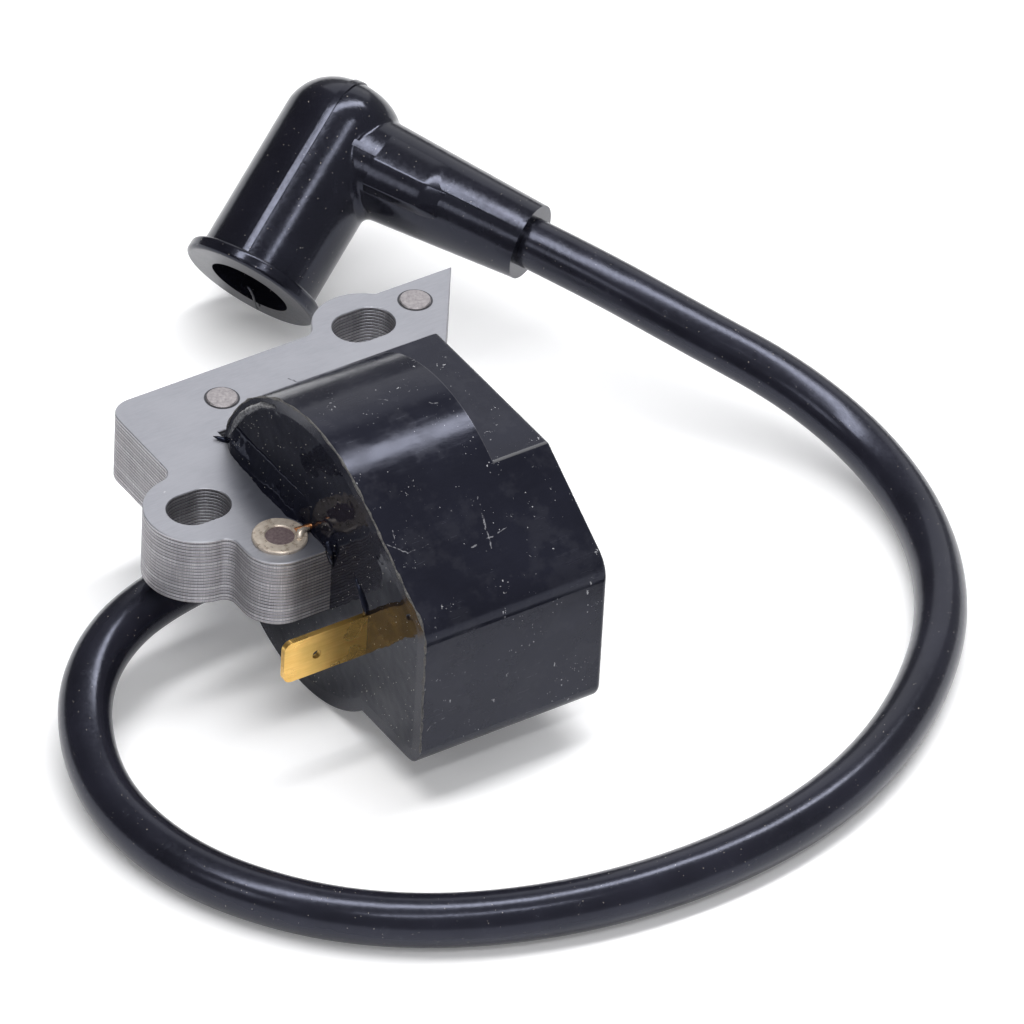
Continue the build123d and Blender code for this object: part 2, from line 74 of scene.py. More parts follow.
# The camera looks from afar through a long lens, as in the photo.
CAMERA_PLACE = mm(-601.19, -889.34, 867.86)
CAMERA_RIGHT = Vector((0.83825, -0.54341, 0.04517))
CAMERA_UP = Vector((0.30775, 0.53987, 0.78348))

SENSOR_WIDTH = 36
LENS = 372.66

camera_data = bpy.data.cameras.new("camera")
camera_data.sensor_width = SENSOR_WIDTH
camera_data.lens = LENS
camera_data.clip_start = 0.01
camera_data.clip_end = 20
camera = bpy.data.objects.new("camera", camera_data)
bpy.context.collection.objects.link(camera)
back = CAMERA_RIGHT.cross(CAMERA_UP).normalized()
up = back.cross(CAMERA_RIGHT).normalized()
turn = Matrix((CAMERA_RIGHT, up, back)).transposed()
camera.matrix_world = Matrix.Translation(CAMERA_PLACE) @ turn.to_4x4()
bpy.context.scene.camera = camera

# ---------------------------------------------------------------- high-tension lead

LEAD_RADIUS = 3.5 * MM
TABLE = 3.5
SOCKET = (8.5, 11.7)
LEAD_ROUTE = [
    (-8.8, SOCKET[0], SOCKET[1]),
    (-26.8, SOCKET[0], SOCKET[1]),
    (-43.2, 1.7, 8.5),
    (-50.9, -14.0, 4.5),
    (-49.5, -31.5, TABLE),
    (-41.0, -46.5, TABLE),
    (-28.5, -57.0, TABLE),
    (-12.5, -63.5, TABLE),
    (4.5, -66.0, TABLE),
    (21.5, -65.0, TABLE),
    (37.5, -60.0, TABLE),
    (52.0, -51.0, TABLE),
    (64.0, -39.0, TABLE),
    (72.0, -24.0, TABLE),
    (74.0, -9.0, 5.5),
    (70.0, 5.0, 9.5),
    (61.5, 18.5, 13.5),
    (53.858, 33.049, 16.699),
    (46.501, 47.638, 18.306),
]

lead_curve = bpy.data.curves.new("ht_lead_line", "CURVE")
lead_curve.dimensions = "3D"
lead_curve.resolution_u = 16
lead_curve.bevel_depth = 1.0
lead_curve.bevel_resolution = 10
lead_curve.use_fill_caps = True
spline = lead_curve.splines.new("NURBS")
spline.points.add(len(LEAD_ROUTE) - 1)
for point, place in zip(spline.points, LEAD_ROUTE):
    point.co = (*mm(*place), 1)
    point.radius = LEAD_RADIUS
spline.order_u = 3
spline.use_endpoint_u = True
lead = bpy.data.objects.new("lead", lead_curve)
bpy.context.collection.objects.link(lead)
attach(lead, ROOT)
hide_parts("ht_lead")

# ---------------------------------------------------------------- material helpers


class Nodes:
    """A small helper that makes and links shader nodes."""

    def __init__(self, name):
        self.material = bpy.data.materials.new(name)
        self.material.use_nodes = True
        self.tree = self.material.node_tree
        self.tree.nodes.clear()
        self.output = self.tree.nodes.new("ShaderNodeOutputMaterial")
        self.position = self.tree.nodes.new("ShaderNodeNewGeometry").outputs["Position"]

    def put(self, socket, value):
        if isinstance(value, bpy.types.NodeSocket):
            self.tree.links.new(value, socket)
        else:
            socket.default_value = value

    def math(self, operation, first, second=0.0):
        node = self.tree.nodes.new("ShaderNodeMath")
        node.operation = operation
        self.put(node.inputs[0], first)
        self.put(node.inputs[1], second)
        return node.outputs[0]

    def vector(self, operation, first, second=None, scale=None):
        node = self.tree.nodes.new("ShaderNodeVectorMath")
        node.operation = operation
        self.put(node.inputs[0], first)
        if second is not None:
            self.put(node.inputs[1], second)
        if scale is not None:
            self.put(node.inputs["Scale"], scale)
        return node.outputs["Value" if operation in ("DOT_PRODUCT", "DISTANCE") else "Vector"]

    def axes(self):
        """The point's x, y and z in millimetres."""
        node = self.tree.nodes.new("ShaderNodeSeparateXYZ")
        self.put(node.inputs[0], self.position)
        return [self.math("MULTIPLY", output, 1 / MM) for output in node.outputs]

    def normal_z(self):
        """How far the surface faces up (1) or down (-1)."""
        geometry = self.tree.nodes.new("ShaderNodeNewGeometry")
        node = self.tree.nodes.new("ShaderNodeSeparateXYZ")
        self.put(node.inputs[0], geometry.outputs["True Normal"])
        return node.outputs[2]

    def combine(self, x, y, z):
        node = self.tree.nodes.new("ShaderNodeCombineXYZ")
        for socket, value in zip(node.inputs, (x, y, z)):
            self.put(socket, value)
        return node.outputs[0]

    def place(self, scale=(1, 1, 1)):
        """Millimetre coordinates stretched along each axis."""
        x, y, z = self.axes()
        return self.combine(
            self.math("MULTIPLY", x, scale[0]),
            self.math("MULTIPLY", y, scale[1]),
            self.math("MULTIPLY", z, scale[2]),
        )

    def noise(self, scale, detail=3.0, rough=0.5, stretch=(1, 1, 1)):
        node = self.tree.nodes.new("ShaderNodeTexNoise")
        self.put(node.inputs["Vector"], self.place(stretch))
        node.inputs["Scale"].default_value = scale
        node.inputs["Detail"].default_value = detail
        node.inputs["Roughness"].default_value = rough
        return node.outputs[0]

    def cells(self, scale):
        """Distance to the nearest of many scattered points, and that point's own shade."""
        node = self.tree.nodes.new("ShaderNodeTexVoronoi")
        self.put(node.inputs["Vector"], self.place())
        node.inputs["Scale"].default_value = scale
        return node.outputs["Distance"], node.outputs["Color"]

    def ramp(self, factor, stops):
        node = self.tree.nodes.new("ShaderNodeValToRGB")
        self.put(node.inputs[0], factor)
        elements = node.color_ramp.elements
        while len(elements) < len(stops):
            elements.new(0.5)
        for element, (place, colour) in zip(elements, stops):
            element.position = place
            element.color = (*colour, 1)
        return node.outputs[0]

    def remap(self, value, low, high, to_low=0.0, to_high=1.0):
        """A smooth step from to_low to to_high while the value goes from low to high."""
        node = self.tree.nodes.new("ShaderNodeMapRange")
        node.interpolation_type = "SMOOTHSTEP"
        self.put(node.inputs["Value"], value)
        self.put(node.inputs["From Min"], low)
        self.put(node.inputs["From Max"], high)
        self.put(node.inputs["To Min"], to_low)
        self.put(node.inputs["To Max"], to_high)
        return node.outputs[0]

    def mix(self, factor, first, second):
        node = self.tree.nodes.new("ShaderNodeMix")
        node.data_type = "RGBA"
        self.put(node.inputs[0], factor)
        for socket, value in ((node.inputs[6], first), (node.inputs[7], second)):
            if isinstance(value, tuple) and len(value) == 3:
                value = (*value, 1)
            self.put(socket, value)
        return node.outputs[2]

    def bump(self, height, strength, distance):
        node = self.tree.nodes.new("ShaderNodeBump")
        node.inputs["Strength"].default_value = strength
        node.inputs["Distance"].default_value = distance
        self.put(node.inputs["Height"], height)
        return node.outputs[0]

    def surface(self, colour, rough, metal=0.0, normal=None, **extra):
        node = self.tree.nodes.new("ShaderNodeBsdfPrincipled")
        self.put(node.inputs["Base Color"], colour)
        self.put(node.inputs["Roughness"], rough)
        self.put(node.inputs["Metallic"], metal)
        if normal is not None:
            self.put(node.inputs["Normal"], normal)
        for name, value in extra.items():
            self.put(node.inputs[name.replace("_", " ")], value)
        self.tree.links.new(node.outputs[0], self.output.inputs[0])

    def scratch(self, start, end, width, wandering=True):
        """1 along a line between two points in millimetres, 0 away from it."""
        first, last = Vector(start), Vector(end)
        along = last - first
        wander = self.tree.nodes.new("ShaderNodeTexNoise")
        self.put(wander.inputs["Vector"], self.place())
        wander.inputs["Scale"].default_value = 0.7
        shift = self.vector("SUBTRACT", wander.outputs["Color"], (0.5, 0.5, 0.5))
        shift = self.vector("SCALE", shift, scale=8 * width if wandering else 0.0)
        offset = self.vector("SUBTRACT", self.vector("ADD", self.place(), shift), tuple(first))
        share = self.vector("DOT_PRODUCT", offset, tuple(along / along.length_squared))
        inside = self.math("MINIMUM", self.math("MAXIMUM", share, 0.0), 1.0)
        foot = self.vector("SCALE", tuple(along), scale=inside)
        gap = self.vector("DISTANCE", offset, foot)
        line = self.remap(gap, width * 0.5, width, 1, 0)
        if wandering:
            line = self.math("MULTIPLY", line, self.remap(self.noise(1.7, 3, 0.7), 0.38, 0.55, 0.05, 0.75))
        return line

    def ring(self, centre, inner, outer):
        """1 in a round band about an upright line, 0 outside it."""
        x, y, _ = self.axes()
        across = self.math("POWER", self.math("SUBTRACT", x, centre[0]), 2.0)
        along = self.math("POWER", self.math("SUBTRACT", y, centre[1]), 2.0)
        away = self.math("SQRT", self.math("ADD", across, along))
        outside = self.remap(away, inner, inner + 0.02)
        inside = self.remap(away, outer - 0.1, outer, 1, 0)
        return self.math("MULTIPLY", outside, inside)

    def specks(self, scale, size, share):
        """White dust: 1 inside a few small dots, 0 elsewhere."""
        distance, shade = self.cells(scale)
        separate = self.tree.nodes.new("ShaderNodeSeparateColor")
        self.put(separate.inputs[0], shade)
        near = self.math("LESS_THAN", distance, self.math("MULTIPLY", separate.outputs[1], size))
        chosen = self.math("LESS_THAN", separate.outputs[0], share)
        return self.math("MULTIPLY", near, chosen)


# ---------------------------------------------------------------- materials

# Black plastic and rubber mirror the room a little bluer than it is, and the resin bluer still.
COOL = (0.74, 0.78, 1.0, 1.0)
COLD = (0.6, 0.68, 1.0, 1.0)

# Each scratch on the case: start, end, width, in millimetres.
CASE_SCRATCHES = [
    ((1.0, -21.6, 35.8), (-0.4, -27.2, 32.0), 0.13),
    ((-3.1, -26.4, 32.5), (2.9, -25.7, 33.0), 0.1),
    ((-13.6, -23.0, 34.9), (-11.4, -24.6, 33.8), 0.09),
    ((-11.4, -24.6, 33.8), (-8.3, -24.6, 33.8), 0.08),
    ((-12.0, -21.8, 35.7), (-12.4, -23.4, 34.6), 0.07),
    ((-3.9, -5.2, 42.4), (-3.0, -6.1, 42.4), 0.07),
    ((1.6, -8.8, 42.1), (2.5, -9.3, 42.1), 0.07),
    ((-13.6, -33.35, 10.7), (-12.3, -33.35, 12.4), 0.09),
    ((-12.3, -33.35, 12.4), (-9.6, -33.35, 12.7), 0.07),
]
# A pale line along the land's front edge.
LAND_EDGE = ((5.3, -18.6, 37.9), (13.6, -18.6, 37.9), 0.3)
# Where the case's flat land starts along X, and the height that only its top passes.
LAND_START = 5.1
LAND_LEVEL = 37.7

# Marks on the core's top plate: start, end, width, shade.
CORE_MARKS = [
    ((0.1, 21.6, 26.2), (0.9, 19.9, 26.2), 0.12, (0.01, 0.01, 0.01)),
    ((-0.6, 20.0, 26.2), (1.7, 20.5, 26.2), 0.1, (0.01, 0.01, 0.01)),
    ((-26.5, 9.3, 26.2), (-26.4, 9.4, 26.2), 0.16, (0.9, 0.9, 0.9)),
]


def core_steel():
    n = Nodes("core_steel")
    x, y, z = n.axes()

    # The brushed top sheet, with painted shade in a fan next to the coil.
    streak = n.noise(2.2, 5, 0.7, stretch=(0.25, 2.0, 1))
    cloud = n.noise(0.13, 3, 0.5)
    fleck = n.noise(4.0, 2, 0.6)
    top = n.ramp(streak, [(0.3, (0.37, 0.375, 0.415)), (0.7, (0.43, 0.435, 0.475))])
    top = n.mix(n.remap(cloud, 0.4, 0.7, 0, 0.35), top, (0.46, 0.465, 0.505))
    top = n.mix(n.remap(fleck, 0.7, 0.76, 0, 0.35), top, (0.25, 0.25, 0.28))
    # Painted shade: a dark bluish fan on the top sheet next to the coil.
    fan_x = n.math("MULTIPLY", n.math("ADD", x, 14.0), 0.16)
    fan_y = n.math("MULTIPLY", n.math("ADD", y, 2.0), 0.07)
    shade_fan = n.math("ADD", n.math("POWER", fan_x, 2.0), n.math("POWER", fan_y, 2.0))
    top = n.mix(n.remap(shade_fan, 0.15, 1.3, 0.72, 0.0), top, (0.1, 0.108, 0.145))
    for start, end, width, shade in CORE_MARKS:
        top = n.mix(n.scratch(start, end, width), top, shade)
    # Painted shade in a thin dark ring round each rivet head.
    for rivet in ("core_rivet_1", "core_rivet_2"):
        low, high = box_mm(rivet)
        radius = (high.x - low.x) / 2
        top = n.mix(n.ring((low + high) / 2, radius - 0.1, radius + 0.3), top, (0.08, 0.08, 0.09))

    # The stack's sides: painted shade in the gap between every two sheets, and a sheared edge on each.
    layer = n.math("DIVIDE", n.math("SUBTRACT", z, sheet_bottom), sheet_step)
    wander = n.math("MULTIPLY", n.math("SUBTRACT", n.noise(0.35, 2, 0.5), 0.5), 0.3)
    phase = n.math("FRACT", n.math("ADD", layer, wander))
    tone = n.tree.nodes.new("ShaderNodeTexWhiteNoise")
    tone.noise_dimensions = "1D"
    n.put(tone.inputs["W"], n.math("FLOOR", layer))
    # Painted shade: a dark line in the gap between every two sheets.
    gap = n.remap(n.math("ABSOLUTE", n.math("SUBTRACT", phase, 0.5)), 0.26, 0.44, 0, 1)
    shear = n.noise(1.1, 4, 0.7, stretch=(7, 7, 0.3))
    edge = n.ramp(shear, [(0.3, (0.3, 0.29, 0.305)), (0.55, (0.5, 0.485, 0.51)), (0.75, (0.78, 0.76, 0.78))])
    edge = n.mix(n.remap(tone.outputs[0], 0, 1, 0.0, 0.4), edge, (0.16, 0.15, 0.155))
    edge = n.mix(gap, edge, (0.025, 0.023, 0.025))
    # Painted highlight along the top edge of the stack's sides.
    rim = n.remap(z, sheet_top - 0.22, sheet_top - 0.12, 0, 0.85)
    edge = n.mix(rim, edge, (0.72, 0.72, 0.76))

    side = n.remap(n.math("ABSOLUTE", n.normal_z()), 0.35, 0.6, 1, 0)
    colour = n.mix(side, top, edge)
    rough = n.mix(side, n.remap(streak, 0.3, 0.7, 0.36, 0.44), n.remap(shear, 0.3, 0.7, 0.42, 0.6))
    height = n.math("ADD", n.math("MULTIPLY", streak, 0.3), n.math("MULTIPLY", shear, side))
    n.surface(colour, rough, 0.85, n.bump(height, 0.2, 0.00006))
    return n.material


def rivet_steel():
    n = Nodes("rivet_steel")
    grain = n.noise(2.2, 4, 0.6)
    colour = n.ramp(grain, [(0.3, (0.3, 0.28, 0.29)), (0.6, (0.44, 0.41, 0.42)), (0.8, (0.55, 0.52, 0.52))])
    n.surface(colour, n.remap(grain, 0.3, 0.7, 0.32, 0.5), 0.8, n.bump(grain, 0.35, 0.0001))
    return n.material


def earth_pin():
    n = Nodes("earth_pin")
    grain = n.noise(2.5, 4, 0.6)
    colour = n.ramp(grain, [(0.3, (0.1, 0.07, 0.075)), (0.7, (0.22, 0.17, 0.175))])
    n.surface(colour, 0.5, 0.5, n.bump(grain, 0.4, 0.0001))
    return n.material


def tinned():
    n = Nodes("tinned_ring")
    grain = n.noise(1.6, 4, 0.55)
    colour = n.ramp(grain, [(0.3, (0.56, 0.47, 0.38)), (0.7, (0.74, 0.66, 0.57))])
    n.surface(colour, n.remap(grain, 0.3, 0.7, 0.25, 0.4), 0.6, n.bump(grain, 0.25, 0.0001))
    return n.material


def copper():
    n = Nodes("copper")
    grain = n.noise(1.5, 3, 0.5)
    colour = n.ramp(grain, [(0.3, (0.55, 0.2, 0.06)), (0.7, (0.85, 0.42, 0.2))])
    n.surface(colour, 0.25, 0.9, n.bump(grain, 0.2, 0.0001))
    return n.material


def case_plastic():
    n = Nodes("case_plastic")
    x, _, z = n.axes()
    grain = n.noise(1.2, 4, 0.55)
    cloud = n.noise(0.09, 3, 0.5)
    smear = n.noise(0.25, 4, 0.6, stretch=(1, 0.4, 0.6))
    colour = n.ramp(cloud, [(0.35, (0.0085, 0.0088, 0.0145)), (0.7, (0.0125, 0.013, 0.021))])
    rubbed = n.remap(n.noise(0.5, 5, 0.75), 0.6, 0.8, 0, 0.22)
    scuff = n.math("MAXIMUM", rubbed, n.remap(n.noise(0.14, 4, 0.7), 0.5, 0.62, 0, 0.1))
    colour = n.mix(scuff, colour, (0.07, 0.07, 0.08))

    # Scratches, a pale line along the land's front edge, and the seam where it starts.
    for start, end, width in CASE_SCRATCHES:
        colour = n.mix(n.scratch(start, end, width), colour, (0.26, 0.26, 0.28))
    colour = n.mix(n.scratch(*LAND_EDGE, wandering=False), colour, (0.11, 0.11, 0.115))
    seam = n.remap(n.math("ABSOLUTE", n.math("SUBTRACT", x, LAND_START)), 0.03, 0.16, 0.5, 0)
    colour = n.mix(n.math("MULTIPLY", seam, n.math("GREATER_THAN", z, LAND_LEVEL)), colour, (0.1, 0.1, 0.11))

    # Dust in patches, some everywhere, and small pale chips in clusters.
    patchy = n.remap(n.noise(0.16, 2, 0.5), 0.5, 0.62, 0, 1)
    dust = n.math("MAXIMUM", n.specks(1.5, 0.13, 0.4), n.specks(3.0, 0.15, 0.25))
    dust = n.math("MULTIPLY", dust, patchy)
    dust = n.math("MAXIMUM", dust, n.specks(1.1, 0.1, 0.2))
    cluster = n.remap(n.noise(0.3, 2, 0.5), 0.6, 0.66, 0, 1)
    chip = n.remap(n.noise(2.6, 2, 0.6, stretch=(1, 1, 0.35)), 0.66, 0.7, 0, 1)
    dust = n.math("MAXIMUM", dust, n.math("MULTIPLY", cluster, chip))
    colour = n.mix(dust, colour, (0.42, 0.42, 0.44))

    brushed = n.noise(1.6, 4, 0.7, stretch=(0.12, 1, 1))
    rough = n.math("ADD", n.remap(smear, 0.3, 0.7, 0.12, 0.18), n.remap(brushed, 0.45, 0.75, 0, 0.1))
    rough = n.math("ADD", rough, n.math("MULTIPLY", scuff, 0.6))
    height = n.math("ADD", n.math("MULTIPLY", grain, 0.25), n.math("MULTIPLY", cloud, 1.5))
    n.surface(colour, rough, 0.0, n.bump(height, 0.12, 0.0002), IOR=1.36, Specular_Tint=COOL)
    return n.material


def black_resin():
    n = Nodes("resin")
    wave = n.noise(0.2, 2, 0.45)
    fine = n.noise(1.2, 3, 0.5)
    colour = n.ramp(fine, [(0.3, (0.0042, 0.0045, 0.0085)), (0.7, (0.0075, 0.008, 0.014))])
    dust = n.math("MAXIMUM", n.specks(1.7, 0.14, 0.45), n.specks(3.1, 0.15, 0.35))
    colour = n.mix(dust, colour, (0.45, 0.43, 0.38))
    height = n.math("ADD", wave, n.math("MULTIPLY", fine, 0.03))
    rough = n.math("ADD", n.remap(fine, 0.3, 0.7, 0.03, 0.07), n.math("MULTIPLY", dust, 0.5))
    n.surface(colour, rough, 0.0, n.bump(height, 0.34, 0.0006), IOR=1.31, Specular_Tint=COLD)
    return n.material


def brass():
    n = Nodes("brass")
    brushed = n.noise(1.4, 4, 0.6, stretch=(0.15, 1, 2.2))
    stain = n.noise(0.22, 3, 0.5)
    colour = n.ramp(brushed, [(0.3, (0.78, 0.46, 0.12)), (0.7, (0.92, 0.6, 0.2))])
    colour = n.mix(n.remap(stain, 0.45, 0.7, 0, 0.4), colour, (0.6, 0.42, 0.12))
    n.surface(colour, n.remap(stain, 0.3, 0.7, 0.24, 0.36), 0.95, n.bump(brushed, 0.2, 0.00006))
    return n.material


def black_rubber(name, base, gloss, dust_share):
    n = Nodes(name)
    cloud = n.noise(0.1, 3, 0.5)
    fine = n.noise(1.8, 4, 0.6)
    colour = n.ramp(cloud, [(0.35, tuple(0.75 * c for c in base)), (0.7, tuple(1.3 * c for c in base))])
    film = n.remap(n.noise(0.4, 5, 0.7), 0.58, 0.8, 0, 0.07)
    colour = n.mix(film, colour, (0.12, 0.12, 0.13))
    dust = n.math("MAXIMUM", n.specks(1.4, 0.11, dust_share), n.specks(2.9, 0.16, dust_share))
    colour = n.mix(dust, colour, (0.45, 0.41, 0.36))
    rough = n.math("ADD", n.remap(fine, 0.3, 0.7, gloss, gloss + 0.08), n.math("MULTIPLY", film, 0.9))
    height = n.math("ADD", n.math("MULTIPLY", cloud, 2.0), n.math("MULTIPLY", fine, 0.15))
    n.surface(colour, rough, 0.0, n.bump(height, 0.15, 0.0003), IOR=1.46, Specular_Tint=COOL)
    return n.material


def plain_inner(name, low, high, rough, metal=0.0):
    n = Nodes(name)
    grain = n.noise(1.0, 3, 0.5)
    n.surface(n.ramp(grain, [(0.3, low), (0.7, high)]), rough, metal, n.bump(grain, 0.2, 0.0001))
    return n.material


def lip_resin():
    n = Nodes("lip_resin")
    grain = n.noise(1.4, 3, 0.6)
    dark, pale, white = (0.045, 0.045, 0.05), (0.16, 0.16, 0.165), (0.4, 0.4, 0.4)
    colour = n.ramp(grain, [(0.35, dark), (0.65, pale), (0.8, white)])
    n.surface(colour, 0.2, 0.0, n.bump(grain, 0.4, 0.0002))
    return n.material


def rim_plastic():
    n = Nodes("rim_flash")
    grain = n.noise(3.0, 4, 0.7)
    dark, worn, pale = (0.02, 0.02, 0.022), (0.1, 0.095, 0.09), (0.24, 0.22, 0.2)
    colour = n.ramp(grain, [(0.35, dark), (0.6, worn), (0.75, pale)])
    n.surface(colour, 0.5, 0.0, n.bump(grain, 0.6, 0.0001))
    return n.material


materials = {
    "core_steel": core_steel(),
    "rivet_steel": rivet_steel(),
    "earth_pin": earth_pin(),
    "tinned_ring": tinned(),
    "copper": copper(),
    "case_plastic": case_plastic(),
    "resin": black_resin(),
    "bobbin_plastic": plain_inner("bobbin_plastic", (0.1, 0.1, 0.09), (0.16, 0.16, 0.14), 0.45),
    "board": plain_inner("board", (0.02, 0.09, 0.03), (0.04, 0.14, 0.06), 0.4),
    "component_black": plain_inner("component_black", (0.01, 0.01, 0.01), (0.03, 0.03, 0.03), 0.4),
    "component_tan": plain_inner("component_tan", (0.35, 0.22, 0.1), (0.5, 0.34, 0.18), 0.4),
    "brass": brass(),
    "spring_steel": plain_inner("spring_steel", (0.35, 0.35, 0.36), (0.5, 0.5, 0.5), 0.3, 0.9),
    "lead_rubber": black_rubber("lead_rubber", (0.0115, 0.0115, 0.0175), 0.18, 0.14),
    "boot_rubber": black_rubber("boot_rubber", (0.0078, 0.0078, 0.012), 0.13, 0.13),
}

for part in frame["record"]["subparts"]:
    node = frame["nodes"][part["node"]]
    node.data.materials.clear()
    node.data.materials.append(materials[part["material_slot"]])
lead_curve.materials.append(materials["lead_rubber"])

# ---------------------------------------------------------------- cast and moulded trim


def piece(name, points, faces, material):
    """A mesh in millimetres that rides with the coil."""
    mesh = bpy.data.meshes.new(name)
    mesh.from_pydata([tuple(mm(*point)) for point in points], [], faces)
    mesh.update()
    shape = bmesh.new()
    shape.from_mesh(mesh)
    bmesh.ops.remove_doubles(shape, verts=shape.verts, dist=0.000001)
    bmesh.ops.recalc_face_normals(shape, faces=shape.faces)
    shape.to_mesh(mesh)
    shape.free()
    for face in mesh.polygons:
        face.use_smooth = True
    mesh.materials.append(material)
    made = bpy.data.objects.new(name, mesh)
    bpy.context.collection.objects.link(made)
    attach(made, ROOT)


def loft(name, rings, material, closed=True):
    """A skin over rows of points. Where the rows are closed loops, both ends are capped."""
    count = len(rings[0])
    points = [point for ring in rings for point in ring]
    last = count if closed else count - 1
    faces = []
    for row in range(len(rings) - 1):
        for place in range(last):
            after = (place + 1) % count
            here, there = row * count, (row + 1) * count
            faces.append((here + place, here + after, there + after, there + place))
    if closed:
        faces.append(tuple(range(count)))
        faces.append(tuple(range(len(points) - count, len(points))))
    piece(name, points, faces, material)


def between(stations, place):
    """The value at a place, read off straight lines between (place, value) stations."""
    for (low, first), (high, second) in zip(stations, stations[1:]):
        if low <= place <= high:
            return first + (second - first) * (place - low) / (high - low)
    return stations[0][1] if place < stations[0][0] else stations[-1][1]


def wobble(place, seed, size):
    """A slow irregular swing, the same in every run."""
    waves = ((0.9, 0.5), (2.3, 0.3), (5.1, 0.2))
    return size * sum(share * math.sin(rate * place + seed * (1 + rate)) for rate, share in waves)


def cord_of(name, path, radii, material, sides, seed, rough=0.05):
    """A thin irregular bead along a path of points."""
    rings = []
    for place, (centre, radius) in enumerate(zip(path, radii)):
        before = Vector(path[max(place - 1, 0)])
        after = Vector(path[min(place + 1, len(path) - 1)])
        line = (after - before).normalized()
        across = line.cross(Vector((0.31, 0.2, 0.93))).normalized()
        other = line.cross(across)
        ring = []
        for side in range(sides):
            angle = 2 * math.pi * side / sides
            size = radius * (1 + wobble(math.sin(angle) * 2 + place * 0.8, seed, rough))
            ring.append(Vector(centre) + (across * math.cos(angle) + other * math.sin(angle)) * size)
        rings.append(ring)
    loft(name, rings, material)


# ---------------------------------------------------------------- resin's edges

# The resin's face along X, the core's top, and the case's round outline: centre (y, z) and radius.
FACE = -13.9
CORE_TOP = sheet_top
CASE_CENTRE = (-5.5, 21.2)
CASE_RADIUS = 21.2

# How far the resin creeps over the core's top plate, and where its upper edge stands, along Y.
CREEP = [(-12.6, 14.6), (-8.0, 14.8), (-4.9, 14.6), (-2.8, 15.7), (4.2, 15.6), (12.2, 14.9), (15.4, 14.0)]
CREST = [(-12.6, 14.3), (-8.0, 14.1), (-5.9, 14.0), (-3.2, 14.5), (4.5, 14.6), (12.0, 14.8), (15.4, 13.95)]
# The edge's height over the core's top, how far the resin climbs the face above it, and how deep
# the fillet's back is buried in the resin.
CREST_RISE = 1.4
FULL_CLIMB = 2.7
BURIED = 0.4
FILLET_FRONT, FILLET_BACK = -11.9, 14.6
FILLET_STATIONS = 90
TOE_STEPS = 7
CLIMB_STEPS = 6


def fillet_row(y):
    """The fillet's section at a place along Y, from the core's top up to the resin's face."""
    taper = math.sin(0.5 * math.pi * min(1.0, (y - FILLET_FRONT) / 1.4, (FILLET_BACK - y) / 2.4))
    creep = FACE + (wobble(y, 1.3, 0.12) - between(CREEP, y) - FACE) * taper
    crest = FACE + (wobble(y, 4.1, 0.08) - between(CREST, y) - FACE) * taper
    rise = (CREST_RISE + wobble(y, 2.2, 0.12)) * (0.3 + 0.7 * taper)
    outline = CASE_CENTRE[1] + math.sqrt(CASE_RADIUS**2 - (y - CASE_CENTRE[0]) ** 2)
    climb = min(FULL_CLIMB, outline - CORE_TOP - rise - 0.4)
    row = [(FACE + BURIED, y, CORE_TOP - 0.3), (creep, y, CORE_TOP - 0.1)]
    for step in range(1, TOE_STEPS + 1):
        share = step / TOE_STEPS
        row.append((creep + (crest - creep) * share**0.75, y, CORE_TOP + rise * share**1.7))
    for step in range(1, CLIMB_STEPS + 1):
        share = step / CLIMB_STEPS
        bulge = crest + (FACE + 0.05 - crest) * share**1.2
        row.append((bulge, y, CORE_TOP + rise + climb * (0.06 * share + 0.94 * share**1.5)))
    row.append((FACE + BURIED, y, CORE_TOP + rise + climb))
    return row


fillet_rows = []
for station in range(FILLET_STATIONS + 1):
    fillet_rows.append(fillet_row(FILLET_FRONT + (FILLET_BACK - FILLET_FRONT) * station / FILLET_STATIONS))
loft("resin_fillet", fillet_rows, materials["resin"])

# The drip that runs from the upper resin down to the blade.
DRIP = [
    (-13.8, -16.4, 25.6),
    (-13.88, -17.4, 24.6),
    (-13.9, -18.5, 23.5),
    (-13.95, -19.3, 22.3),
    (-14.1, -19.6, 21.3),
]
DRIP_SIZES = (0.1, 0.3, 0.4, 0.42, 0.3)
cord_of("resin_drip", DRIP, DRIP_SIZES, materials["resin"], sides=16, seed=0.4)

# The blob on the core's front corner.
BLOB = [
    (-14.0, -10.4, 27.2),
    (-14.3, -10.9, 26.8),
    (-14.4, -11.3, 26.1),
    (-14.2, -11.4, 24.8),
    (-13.9, -11.5, 23.4),
]
BLOB_SIZES = (0.3, 0.5, 0.55, 0.42, 0.15)
cord_of("resin_blob", BLOB, BLOB_SIZES, materials["resin"], sides=16, seed=1.9)

# The spike at the core's far corner.
SPIKE = [(-13.8, 14.2, 26.1), (-14.3, 14.7, 26.3), (-14.8, 15.2, 26.5), (-15.2, 15.6, 26.6)]
SPIKE_SIZES = (0.5, 0.4, 0.22, 0.04)
cord_of("resin_spike", SPIKE, SPIKE_SIZES, materials["resin"], sides=12, seed=2.6)


def outline_point(angle, reach):
    """A point on the resin's face, at an angle from upright about the case's round outline."""
    across = CASE_CENTRE[0] + reach * math.sin(angle)
    up = CASE_CENTRE[1] + reach * math.cos(angle)
    return (FACE, across, up)


# The pale lip of resin against the case's rim at the far end.
LIP_RADIUS = 20.0
LIP_THICK = 0.5
LIP_STATIONS = 30
lip_line = []
lip_sizes = []
for station in range(LIP_STATIONS):
    lip_angle = math.radians(74 - 48 * station / (LIP_STATIONS - 1))
    lip_line.append(outline_point(lip_angle, LIP_RADIUS + wobble(station * 0.5, 2.0, 0.12)))
    thick = LIP_THICK * math.sin(math.pi * (station + 1) / (LIP_STATIONS + 1)) ** 0.4
    lip_sizes.append(thick + wobble(station * 0.9, 0.5, 0.06))
cord_of("resin_lip", lip_line, lip_sizes, lip_resin(), sides=12, seed=3.1)

# ---------------------------------------------------------------- flash on the case's rim

